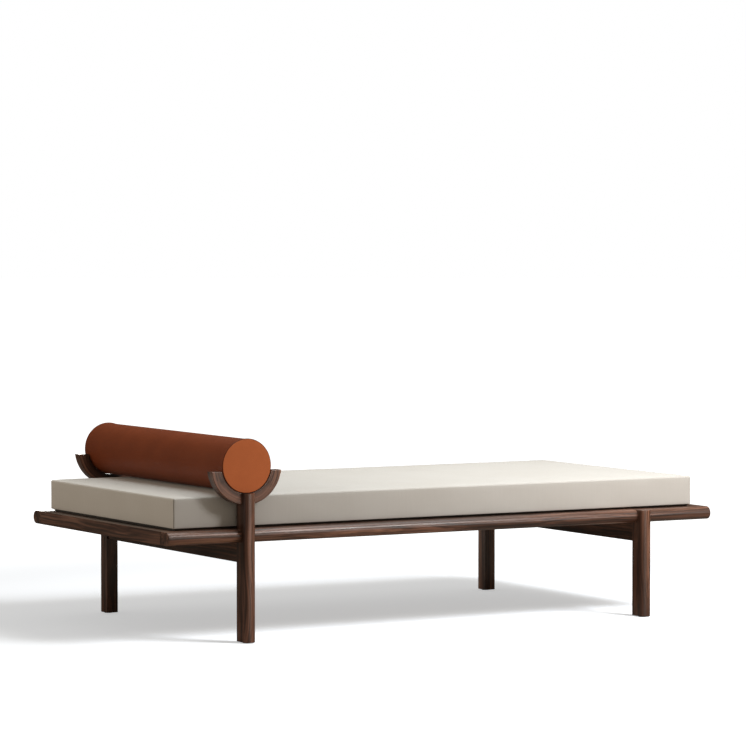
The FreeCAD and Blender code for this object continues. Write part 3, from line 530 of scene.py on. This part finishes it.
def fastener(name, head_radius, head_length, shank_radius, length, socket, screw):
    """A fastener along +Z with the top of its head at 0: a star-recess screw or a hexagon-socket bolt."""
    angles = np.arange(AROUND) * 2 * math.pi / AROUND
    recess = np.where(np.arange(AROUND) % 2 == 0, 1.0, STAR if screw else HEXAGON)
    turned = np.ones(AROUND)
    floor = 0.62 * head_length
    under_rim = head_length * (0.3 if screw else 1.0)
    taper, tip = (0.0050, 0.15) if screw else (0.0006, 0.8)
    profile = [(socket * 0.1, floor, recess), (socket, floor, recess), (socket, 0.0001, recess),
               (socket * 1.12, 0.0, recess), (head_radius * 0.90, 0.0, turned),
               (head_radius, head_length * 0.12, turned), (head_radius, under_rim, turned),
               (shank_radius, head_length, turned), (shank_radius, length - taper, turned),
               (shank_radius * tip, length, turned)]
    corners, faces = [], []
    for radius, down, shape in profile:
        corners += [(radius * r * math.cos(a), radius * r * math.sin(a), down) for r, a in zip(shape, angles)]
    for row in range(len(profile) - 1):
        near, far = row * AROUND, (row + 1) * AROUND
        for k in range(AROUND):
            beside = (k + 1) % AROUND
            faces.append((near + k, far + k, far + beside, near + beside))
    faces.append(tuple(range(AROUND)))
    faces.append(tuple(reversed(range((len(profile) - 1) * AROUND, len(profile) * AROUND))))
    made = solid_from(name, corners, [f[::-1] for f in faces], [ZINC], smooth=False)
    made.hide_render = True
    return made


def spots_of(piece):
    """Where a piece's points are, one row each."""
    place = np.zeros(len(piece.data.vertices) * 3)
    piece.data.vertices.foreach_get("co", place)
    return place.reshape(-1, 3)


def move_to(piece, place):
    piece.data.vertices.foreach_set("co", place.ravel())
    piece.data.update()


def centres(node):
    """The side, X and Z of each of a node's fasteners, which all lie along Y at the front or the rear."""
    apart_from = 0.0115     # more than a fastener's breadth, less than the way to the next
    place = spots_of(nodes[node])
    found = []
    for sign in (-1, 1):
        left = place[place[:, 1] * sign > 0][:, [0, 2]]
        while len(left):
            near = np.linalg.norm(left - left[0], axis=1) < apart_from
            x, z = (left[near].max(0) + left[near].min(0)) / 2
            found.append((sign, x, z))
            left = left[~near]
    return found


def driven(tree, name, node, shape, spots, ways):
    """Fasteners driven in at the spots, each in its own direction, in place of a CAD node."""
    mesh = bpy.data.meshes.new("guide")
    mesh.from_pydata([tuple(p) for p in spots], [], [])
    way = mesh.attributes.new("driven", "FLOAT_VECTOR", "POINT")
    way.data.foreach_set("vector", np.array(ways, dtype=float).ravel())
    source = bpy.data.objects.new("guide", mesh)
    bpy.context.scene.collection.objects.link(source)
    piece = made_by(tree, name, source, {"Fastener": shape, "Steel": ZINC})
    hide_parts(node)
    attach(piece, "frame")


def fastenings():
    """Star-recess screws in the slats, cleats and cradles, and hexagon-socket bolts in the legs."""
    tree = fastener_tree()
    screws = {}
    for kind, length in (("slat", 0.0338), ("cleat", 0.0398), ("cradle", 0.0498)):
        screws[kind] = fastener(kind + "_screw", 0.0039, 0.0027, 0.0019, length, 0.0019, True)
    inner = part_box("cleat_rear")[0].y
    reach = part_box("leg_bolts")[1].y - inner
    leg_bolt = fastener("leg_bolt", 0.0049, 0.0059, 0.0029, reach - 0.0002, 0.0026, False)
    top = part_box(slats[0])[1].z
    front, rear = [sum(b[1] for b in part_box(n)) / 2 for n in ("cleat_front", "cleat_rear")]
    spots = []
    for name in slats:
        low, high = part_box(name)
        spots += [((low.x + high.x) / 2, y, top) for y in (front, 0.0, rear)]
    driven(tree, "slat_screw_set", "slat_screws", screws["slat"], spots, [(0, 0, -1)] * len(spots))
    cradle_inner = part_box("bolster_cradle_rear")[0].y
    for name, node, shape, start in (("cleat_screw_set", "cleat_screws", screws["cleat"], inner),
                                     ("leg_bolt_set", "leg_bolts", leg_bolt, inner),
                                     ("cradle_screw_set", "cradle_screws", screws["cradle"], cradle_inner)):
        found = centres(node)
        spots = [(x, side * start, z) for side, x, z in found]
        driven(tree, name, node, shape, spots, [(0, side, 0) for side, x, z in found])
    for shape in (*screws.values(), leg_bolt):
        bpy.data.objects.remove(shape)


def rows(low, high, round_off, pitch):
    """Cuts across one side of a case: close together at the rounded edges, wider between."""
    near = [0.0, 0.25, 0.5, 0.75, 1.0]
    start = [low + share * round_off for share in near]
    reach, gap = start[-1], round_off * 0.6
    while gap < pitch and reach + gap < (low + high) / 2 - pitch:
        reach += gap
        start.append(reach)
        gap *= 1.5
    end = [low + high - value for value in reversed(start)]
    count = max(1, round((end[0] - start[-1]) / pitch))
    middle = [start[-1] + (end[0] - start[-1]) * k / count for k in range(1, count)]
    return np.array(start + middle + end)


def boxed_case(name, low, high, round_off, pitch, foot, materials):
    """A closed case of six panels sewn edge to edge, cut finer towards its seams and at the foot heights.

    Gives the case, and where its points lay before the edges were rounded.
    """
    cuts = [rows(low[k], high[k], round_off, pitch[k]) for k in range(3)]
    above = cuts[2][cuts[2] > low[2] + FOOT_TOP]
    cuts[2] = np.unique(np.round(np.concatenate([above, low[2] + np.array(foot)]), 6))
    number, corners, faces = {}, [], []

    def at(i, j, k):
        key = (i, j, k)
        if key not in number:
            number[key] = len(corners)
            corners.append((cuts[0][i], cuts[1][j], cuts[2][k]))
        return number[key]

    last = [len(c) - 1 for c in cuts]
    for axis in range(3):
        first, second = (axis + 1) % 3, (axis + 2) % 3
        for level in (0, last[axis]):
            for a in range(last[first]):
                for b in range(last[second]):
                    ring = []
                    for da, db in ((0, 0), (1, 0), (1, 1), (0, 1)):
                        where = [0, 0, 0]
                        where[axis], where[first], where[second] = level, a + da, b + db
                        ring.append(at(*where))
                    faces.append(ring if level else ring[::-1])
    place = np.array(corners)
    middle = (np.array(low) + np.array(high)) / 2
    half = (np.array(high) - np.array(low)) / 2
    out = place - middle
    inner = np.clip(out, -(half - round_off), half - round_off)
    lean = out - inner
    length = np.linalg.norm(lean, axis=1, keepdims=True)
    rounded = middle + inner + lean / np.maximum(length, 1e-9) * round_off
    return solid_from(name, rounded, faces, materials), place


def settled(piece, held, pressure, limit, frames=20):
    """Fills a sewn case: its panels swell between the seams held, and no point moves past its limit."""
    scene = bpy.context.scene
    group = piece.vertex_groups.new(name="seams")
    for weight in sorted(set(np.round(held, 2))):
        if weight > 0:
            group.add(np.nonzero(np.round(held, 2) == weight)[0].tolist(), float(weight), "REPLACE")
    swell = piece.modifiers.new("filling", "CLOTH")
    cloth = swell.settings
    cloth.quality = 5
    cloth.mass = 0.3
    cloth.tension_stiffness = cloth.compression_stiffness = 12
    cloth.shear_stiffness = 6
    cloth.bending_stiffness = 0.6
    cloth.use_pressure = True
    cloth.uniform_pressure_force = pressure
    cloth.effector_weights.gravity = 0
    cloth.vertex_group_mass = "seams"
    start = spots_of(piece)
    for number in range(1, frames + 1):
        scene.frame_set(number)
    shown = piece.evaluated_get(bpy.context.evaluated_depsgraph_get())
    step_by = spots_of(shown) - start
    piece.modifiers.remove(swell)
    piece.vertex_groups.clear()
    scene.frame_set(1)
    length = np.linalg.norm(step_by, axis=1)
    limit = np.maximum(limit, 1e-9)
    kept = limit * np.tanh(length / limit)
    move_to(piece, start + step_by * (kept / np.maximum(length, 1e-9))[:, None])


def subdivide_once(piece):
    """Smooths a piece by one step of subdivision, kept as a plain mesh."""
    made = piece.modifiers.new("smooth", "SUBSURF")
    made.levels = made.render_levels = 1
    made.boundary_smooth = "ALL"
    shown = piece.evaluated_get(bpy.context.evaluated_depsgraph_get())
    mesh = bpy.data.meshes.new_from_object(shown)
    piece.modifiers.remove(made)
    old = piece.data
    piece.data = mesh
    bpy.data.meshes.remove(old)
    mesh.name = piece.name


def paint_seam_shade(piece, share):
    """Stores a painted-shade weight for each point, from 0 to 1, for the finish to read as darkening in seams
    and gaps.
    """
    held = piece.data.attributes.new("seam", "FLOAT", "POINT")
    held.data.foreach_set("value", np.clip(share, 0.0, 1.0).astype(np.float32))


def lay_cloth(piece):
    """A layout in metres for the weave, taken from the direction each face looks."""
    mesh = piece.data
    layer = mesh.uv_layers.new(name="cloth")
    normal = np.zeros(len(mesh.polygons) * 3)
    mesh.polygons.foreach_get("normal", normal)
    normal = np.abs(normal.reshape(-1, 3))
    corner = np.zeros(len(mesh.loops), np.int32)
    mesh.loops.foreach_get("vertex_index", corner)
    total = np.zeros(len(mesh.polygons), np.int32)
    mesh.polygons.foreach_get("loop_total", total)
    facing = np.repeat(np.argmax(normal + np.array([0.0, 0.0, 0.02]), axis=1), total)
    spot = spots_of(piece)[corner]
    upright = np.where((facing == 1)[:, None], spot[:, [0, 2]], spot[:, [1, 2]])
    laid = np.where((facing == 2)[:, None], spot[:, [0, 1]], upright)
    layer.data.foreach_set("uv", laid.ravel())


FOOT = (0.0, 0.002, 0.004, 0.0052, 0.0058, 0.0064, 0.0070, 0.0078)     # heights cut near the tucked lower edge
FOOT_TOP = 0.0085
TUCKED = 0.0075         # how far the lower edge is drawn in
CASE_EDGE = 0.0040      # rounding along the seams
CROWN = 0.0042          # rise of the top panel, made once by shape and at most once more by its fill


def crowned(edge, reach):
    """How much of the full rise a point has, by its way in from the edge."""
    return 1 - np.exp(-np.clip(edge, 0, None) / reach)


def mattress():
    """Foam mattress in a boxed cover: top, bottom and border panels with a seam at every edge."""
    low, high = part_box("mattress_cover")
    low = np.array(low) + (-0.0060, 0.0015, 0.0)
    high = np.array(high) + (-0.0005, -0.0015, 0.0020)
    cloth = cover_cloth("cover_cloth_off_white")
    pitch = (0.022, 0.020, 0.011)
    piece, flat = boxed_case("mattress_in_cover", low, high, CASE_EDGE, pitch, FOOT, [cloth])
    middle, half = (low + high) / 2, (high - low) / 2
    depth = half - np.abs(flat - middle)
    inset = np.sort(depth, axis=1)
    seam = (inset[:, 1] < 1e-6).astype(float)
    resting = flat[:, 2] < low[2] + 0.0066
    top = flat[:, 2] > high[2] - 1e-6
    edge = np.minimum(depth[:, 0], depth[:, 1])
    place = spots_of(piece)
    place[:, 2] += np.where(top, CROWN * crowned(edge, 0.045), 0.0)
    pull = place - middle
    near = np.exp(-((inset[:, 1] / 0.0010) ** 2))
    inward = np.where(depth < 0.006, np.sign(pull), 0.0)
    place -= inward * near[:, None] * 0.0010
    lift = np.clip((flat[:, 2] - low[2] - 0.0050) / 0.0022, 0, 1)
    tuck = TUCKED * (1 - lift) ** 1.5
    outer = np.where(depth[:, :2] < 0.02, np.sign(pull[:, :2]), 0.0)
    place[:, :2] -= outer * tuck[:, None] * (1 - depth[:, :2] / 0.02)
    along = flat[:, 0] * 21.0 + flat[:, 1] * 17.0
    slack = 0.0003 * (np.sin(along) + np.sin(1.7 * along + 1.0)) * np.clip(depth[:, 2] / 0.03, 0, 1)
    place[:, :2] += np.where(depth[:, :2] < 0.002, np.sign(pull[:, :2]), 0.0) * slack[:, None]
    move_to(piece, place)
    limit = np.where(top, CROWN * crowned(edge, 0.05), 0.0012 * crowned(inset[:, 1], 0.02))
    settled(piece, np.where(resting, 1.0, seam), 4.0, np.where(resting, 0.0, limit))
    subdivide_once(piece)
    spot = np.abs(spots_of(piece) - middle)
    # Painted shade: a thin dark line down each upright corner seam and a near-black strip at the tucked foot,
    # for the shade in the crease and in the gap above the rail.
    apart = np.linalg.norm(spot[:, :2] - (half[:2] - 0.0019), axis=1)
    upright = 0.5 * np.exp(-((apart / 0.0016) ** 2)) * np.clip((half[2] - spot[:, 2]) / 0.004, 0, 1)
    painted_tuck_shadow = np.clip((low[2] + 0.0070 - spots_of(piece)[:, 2]) / 0.0012, 0, 1)
    paint_seam_shade(piece, np.maximum(upright, painted_tuck_shadow))
    lay_cloth(piece)
    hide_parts("mattress_cover", "mattress_core")
    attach(piece, "mattress")


ROUND = 144             # sides of the bolster
SEAM_AT = math.radians(-62)


def round_body(name, axis_rows, radii, around, materials):
    """A closed turned body along Y: one ring of points for each row, with a pole at each end."""
    corners, faces = [], []
    angles = np.arange(around) * 2 * math.pi / around
    for y, radius in zip(axis_rows, radii):
        corners += [(ROLL_X + radius * math.cos(a), y, ROLL_Z + radius * math.sin(a)) for a in angles]
    count = len(axis_rows)
    for row in range(count - 1):
        for k in range(around):
            beside = (k + 1) % around
            near, far = row * around, (row + 1) * around
            faces.append((near + k, near + beside, far + beside, far + k))
    for row, y, turned in ((0, axis_rows[0], False), (count - 1, axis_rows[-1], True)):
        pole = len(corners)
        corners.append((ROLL_X, y, ROLL_Z))
        for k in range(around):
            beside = (k + 1) % around
            ring = (pole, row * around + beside, row * around + k)
            faces.append(ring[::-1] if turned else ring)
    return solid_from(name, corners, faces, materials)


def bolster_wrap(first, last, radius):
    """The wrap and the foam in it: turned in under the end panels, with its closing seam underneath."""
    soft = 0.0020
    start, end = first + 0.0006, last - 0.0006
    shells = [0.02, 0.04, 0.06, 0.072, 0.079]
    along = [start] * len(shells)
    radii = list(shells)
    for turn in (15, 40, 65, 90):
        lean = math.radians(turn)
        along.append(start + soft * (1 - math.sin(lean)))
        radii.append(radius - soft + soft * math.cos(lean))
    flats = len(shells)
    along = along[:flats] + along[flats:][::-1]
    radii = radii[:flats] + radii[flats:][::-1]
    run = rows(start + soft, end - soft, 0.004, 0.014)[1:-1]
    tail_along = [start + end - y for y in reversed(along)]
    tail_radii = radii[::-1]
    all_along = np.array(along + list(run) + tail_along)
    all_radii = np.array(radii + [radius] * len(run) + tail_radii)
    # Painted shade: the wrap takes a much darker copy of the end panels' hide, for the shade on its side.
    hide = leather("hide_wrap", (0.172, 0.0365, 0.0100), (0.148, 0.0305, 0.0083))
    piece = round_body("bolster_wrap_hide", all_along, all_radii, ROUND, [hide])
    place = spots_of(piece)
    out = place[:, [0, 2]] - (ROLL_X, ROLL_Z)
    reach = np.linalg.norm(out, axis=1)
    on_wrap = reach > radius - 0.0005
    from_end = np.minimum(place[:, 1] - start, end - place[:, 1])
    slim = np.where(on_wrap, 0.0010 * crowned(from_end, 0.012), 0.0)
    out_way = out / np.maximum(reach, 1e-9)[:, None]
    place[:, [0, 2]] -= out_way * slim[:, None]
    move_to(piece, place)
    held = np.where(on_wrap & (from_end > 0.004), 0.0, 1.0)
    settled(piece, held, 4.0, np.where(held > 0, 0.0, 0.0012))
    subdivide_once(piece)
    seam_line(piece, radius)
    spot = spots_of(piece)
    from_end = np.minimum(spot[:, 1] - start, end - spot[:, 1])
    # Painted shade: the wrap darkens towards its rims, for the gap shadow between end panel and cradle.
    paint_seam_shade(piece, 0.55 * (1.1 - from_end / 0.0024))
    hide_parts("bolster_wrap", "bolster_core")
    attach(piece, "bolster")


def seam_line(piece, radius):
    """Draws the closing seam of the wrap in along its underside."""
    place = spots_of(piece)
    out = place[:, [0, 2]] - (ROLL_X, ROLL_Z)
    reach = np.linalg.norm(out, axis=1)
    aside = (np.arctan2(out[:, 1], out[:, 0]) - SEAM_AT) * radius
    groove = 0.0011 * np.exp(-((aside / 0.0022) ** 2)) * (reach > radius - 0.004)
    place[:, [0, 2]] -= out / np.maximum(reach, 1e-9)[:, None] * groove[:, None]
    move_to(piece, place)


def end_panel(which, face, inward, radius, material):
    """A flat round panel with a turned edge, sewn to the end of the wrap."""
    rim = radius - 0.0014
    bend = 0.0011
    front, radii = [], []
    for share in (0.12, 0.25, 0.38, 0.5, 0.62, 0.73, 0.83, 0.91, 0.96):
        crown = 0.0004 * (1 - share ** 6)
        front.append(face + inward * (0.0005 - crown))
        radii.append(rim * share)
    for turn in (75, 45, 15):
        lean = math.radians(turn)
        front.append(face + inward * (0.0005 + bend * (1 - math.sin(lean))))
        radii.append(rim - bend + bend * math.cos(lean))
    along = front + [face + inward * 0.0022] * 3
    radii = radii + [rim - 0.0008, rim * 0.6, rim * 0.2]
    if inward < 0:
        along, radii = along[::-1], radii[::-1]
    piece = round_body("bolster_end_panel_" + which, along, radii, ROUND, [material])
    subdivide_once(piece)
    spot = spots_of(piece)
    reach = np.linalg.norm(spot[:, [0, 2]] - (ROLL_X, ROLL_Z), axis=1)
    # Painted shade: the panel darkens at its outer rim, for the gap shadow against the cradle.
    paint_seam_shade(piece, 0.55 * (reach - (rim - 0.0014)) / 0.0010)
    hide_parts("bolster_end_" + which)
    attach(piece, "bolster")


def bolster():
    """Round bolster: one wrap of hide closed by two flat end panels."""
    radius = (roll_high.x - roll_low.x) / 2 - 0.0001
    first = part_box("bolster_end_front")[0].y
    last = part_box("bolster_end_rear")[1].y
    bolster_wrap(first, last, radius)
    dark = seam_thread("waxed_thread", (0.050, 0.020, 0.010))
    tree = stitch_tree()

    def sewn(name, points, closed):
        stitches = made_by(tree, name, line_guide(points, closed), {"Thread": dark})
        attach(stitches, "bolster")

    turn = np.arange(180) * 2 * math.pi / 180
    reach = radius - 0.0011
    for which, y in (("front", first + 0.0013), ("rear", last - 0.0013)):
        ring = [(ROLL_X + reach * math.cos(a), y, ROLL_Z + reach * math.sin(a)) for a in turn]
        sewn("bolster_stitches_" + which, ring, True)
    reach = radius - 0.0007
    x, z = ROLL_X + reach * math.cos(SEAM_AT), ROLL_Z + reach * math.sin(SEAM_AT)
    sewn("bolster_stitches_seam", [(x, first + 0.006, z), (x, last - 0.006, z)], False)
    # Painted light: the end panels take a much lighter copy of the wrap's hide, for the light falling on their
    # faces.
    panel_hide_lit_copy = leather("hide_end_panel", (0.575, 0.158, 0.052), (0.54, 0.146, 0.048))
    end_panel("front", first, 1, radius, panel_hide_lit_copy)
    end_panel("rear", last, -1, radius, panel_hide_lit_copy)


fastenings()
mattress()
bolster()


# ---------------------------------------------------------------- studio
def white_room():
    """A plain pale floor and surround, warm and low for lighting, white to look at."""
    scene = bpy.context.scene
    scene.view_settings.view_transform = "Standard"
    world = bpy.data.worlds.new("surround")
    scene.world = world
    world.use_nodes = True
    tree = world.node_tree
    tree.nodes.clear()
    seen = add(tree, "ShaderNodeBackground", {"Color": (1.0, 1.0, 1.0, 1.0), "Strength": 1.0})
    path = add(tree, "ShaderNodeLightPath").outputs
    strength = calc(tree, "SUBTRACT", 0.33, calc(tree, "MULTIPLY", path["Is Glossy Ray"], 0.21))
    lit = add(tree, "ShaderNodeBackground", {"Color": (1.0, 0.86, 0.70, 1.0), "Strength": strength})
    mixed = add(tree, "ShaderNodeMixShader", {0: path["Is Camera Ray"], 1: lit.outputs[0], 2: seen.outputs[0]})
    tree.links.new(mixed.outputs[0], add(tree, "ShaderNodeOutputWorld").inputs[0])

    ring = [(60 * math.cos(a * math.pi / 24), 60 * math.sin(a * math.pi / 24), 0.0) for a in range(48)]
    floor = solid_from("studio_floor", ring, [tuple(range(48))], [], smooth=False)
    made = bpy.data.materials.new("pale_floor")
    made.use_nodes = True
    tree = made.node_tree
    tree.nodes.clear()
    apart = add(tree, "ShaderNodeSeparateXYZ", {0: object_place(tree)}).outputs
    squares = calc(tree, "ADD", calc(tree, "POWER", apart[0], 2.0), calc(tree, "POWER", apart[1], 2.0))
    reach = calc(tree, "SQRT", squares)
    glow = step(tree, reach, 1.7, 3.4, 0.47, 1.0)
    near = add(tree, "ShaderNodeBsdfDiffuse", {"Color": (0.56, 0.65, 0.78, 1.0)})
    shine = add(tree, "ShaderNodeEmission", {"Color": (1.0, 1.0, 1.0, 1.0), "Strength": glow})
    looked = add(tree, "ShaderNodeAddShader", {0: near.outputs[0], 1: shine.outputs[0]})
    bounce = add(tree, "ShaderNodeBsdfDiffuse", {"Color": (0.22, 0.21, 0.20, 1.0)})
    straight = add(tree, "ShaderNodeLightPath").outputs["Is Camera Ray"]
    mixed = add(tree, "ShaderNodeMixShader", {0: straight, 1: bounce.outputs[0], 2: looked.outputs[0]})
    tree.links.new(mixed.outputs[0], add(tree, "ShaderNodeOutputMaterial").inputs[0])
    floor.data.materials.append(made)
    floor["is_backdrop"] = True


def soft_box(name, place, aim, size, watts, colour, spread=180.0, only=None):
    """A rectangular lamp aimed at a place, lighting everything or only one group."""
    lamp = bpy.data.lights.new(name, "AREA")
    lamp.shape = "RECTANGLE"
    lamp.size, lamp.size_y = size
    lamp.energy = watts
    lamp.color = colour
    lamp.spread = math.radians(spread)
    made = bpy.data.objects.new(name, lamp)
    bpy.context.scene.collection.objects.link(made)
    made.location = place
    made.rotation_euler = (Vector(aim) - Vector(place)).to_track_quat("-Z", "Y").to_euler()
    if only:
        made.light_linking.receiver_collection = only


def lit_group(name, things):
    made = bpy.data.collections.new(name)
    for thing in things:
        made.objects.link(thing)
    return made


def lights():
    """A key from the right, an overhead, and fills that each light one group of pieces."""
    pieces = list(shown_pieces())
    soft = [p for p in pieces if p.name.startswith(("mattress", "bolster")) and "cradle" not in p.name]
    bed = lit_group("lit_from_above", pieces)
    soft_goods = lit_group("lit_soft_goods", soft)
    timber_work = lit_group("lit_timber", [p for p in pieces if p not in soft])
    front_rail = lit_group("lit_front_rail", [nodes["side_rail_front"]])
    uprights = ("head_leg_front", "foot_leg_front", "bolster_cradle_front")
    front_uprights = lit_group("lit_front_uprights", [nodes[name] for name in uprights])
    back = ("side_rail_rear", "head_leg_rear", "foot_leg_rear", "bolster_cradle_rear")
    rear_timber = lit_group("lit_rear_timber", [nodes[name] for name in back])
    ground = lit_group("lit_floor", [bpy.data.objects["studio_floor"]])
    warm, linen = (1.0, 0.86, 0.70), (1.0, 0.97, 0.92)
    key, side = (1.45, -2.8, 2.9), (-4.6, 0.8, 1.7)
    head, front, rear = (-1.0, 0.0, 0.5), (0.0, -0.5, 0.33), (0.0, 0.5, 0.33)
    soft_box("key", key, (0.95, 0.0, 0.35), (1.0, 1.0), 35.0, (1.0, 0.96, 0.925), 84.0)
    soft_box("key_floor", key, (0.3, 0.0, 0.0), (1.7, 1.7), 215.0, warm, only=ground)
    soft_box("fill_soft_goods", side, head, (2.4, 1.6), 52.0, warm, only=soft_goods)
    soft_box("fill_timber", side, head, (2.4, 1.6), 31.0, (0.94, 0.97, 1.0), only=timber_work)
    soft_box("strip_rail", (2.5, -4.5, 1.2), front, (2.8, 0.35), 58.0, (1.0, 0.94, 0.90), only=front_rail)
    soft_box("card_uprights", (-0.4, -4.2, 0.9), front, (3.0, 1.0), 74.0, (1.0, 0.96, 0.90), only=front_uprights)
    soft_box("card_rear", (0.4, 4.2, 1.1), rear, (3.4, 1.0), 90.0, linen, only=rear_timber)
    soft_box("overhead", (0.3, -0.3, 2.9), (0.3, -0.3, 0.0), (3.0, 2.0), 50.0, (0.925, 0.985, 1.0), 150.0, bed)


def camera():
    """Looks at the front from past the head end, a little from above."""
    lens = bpy.data.cameras.new("camera")
    lens.sensor_width = 36.0
    lens.lens = 175.27319
    lens.clip_end = 200.0
    made = bpy.data.objects.new("camera", lens)
    bpy.context.scene.collection.objects.link(made)
    made.location = (-5.92962, -10.30820, 1.32073)
    made.rotation_euler = (math.pi / 2 - 0.04423, 0.0, -0.52172)
    bpy.context.scene.camera = made


white_room()
lights()
camera()

bpy.context.view_layer.update()
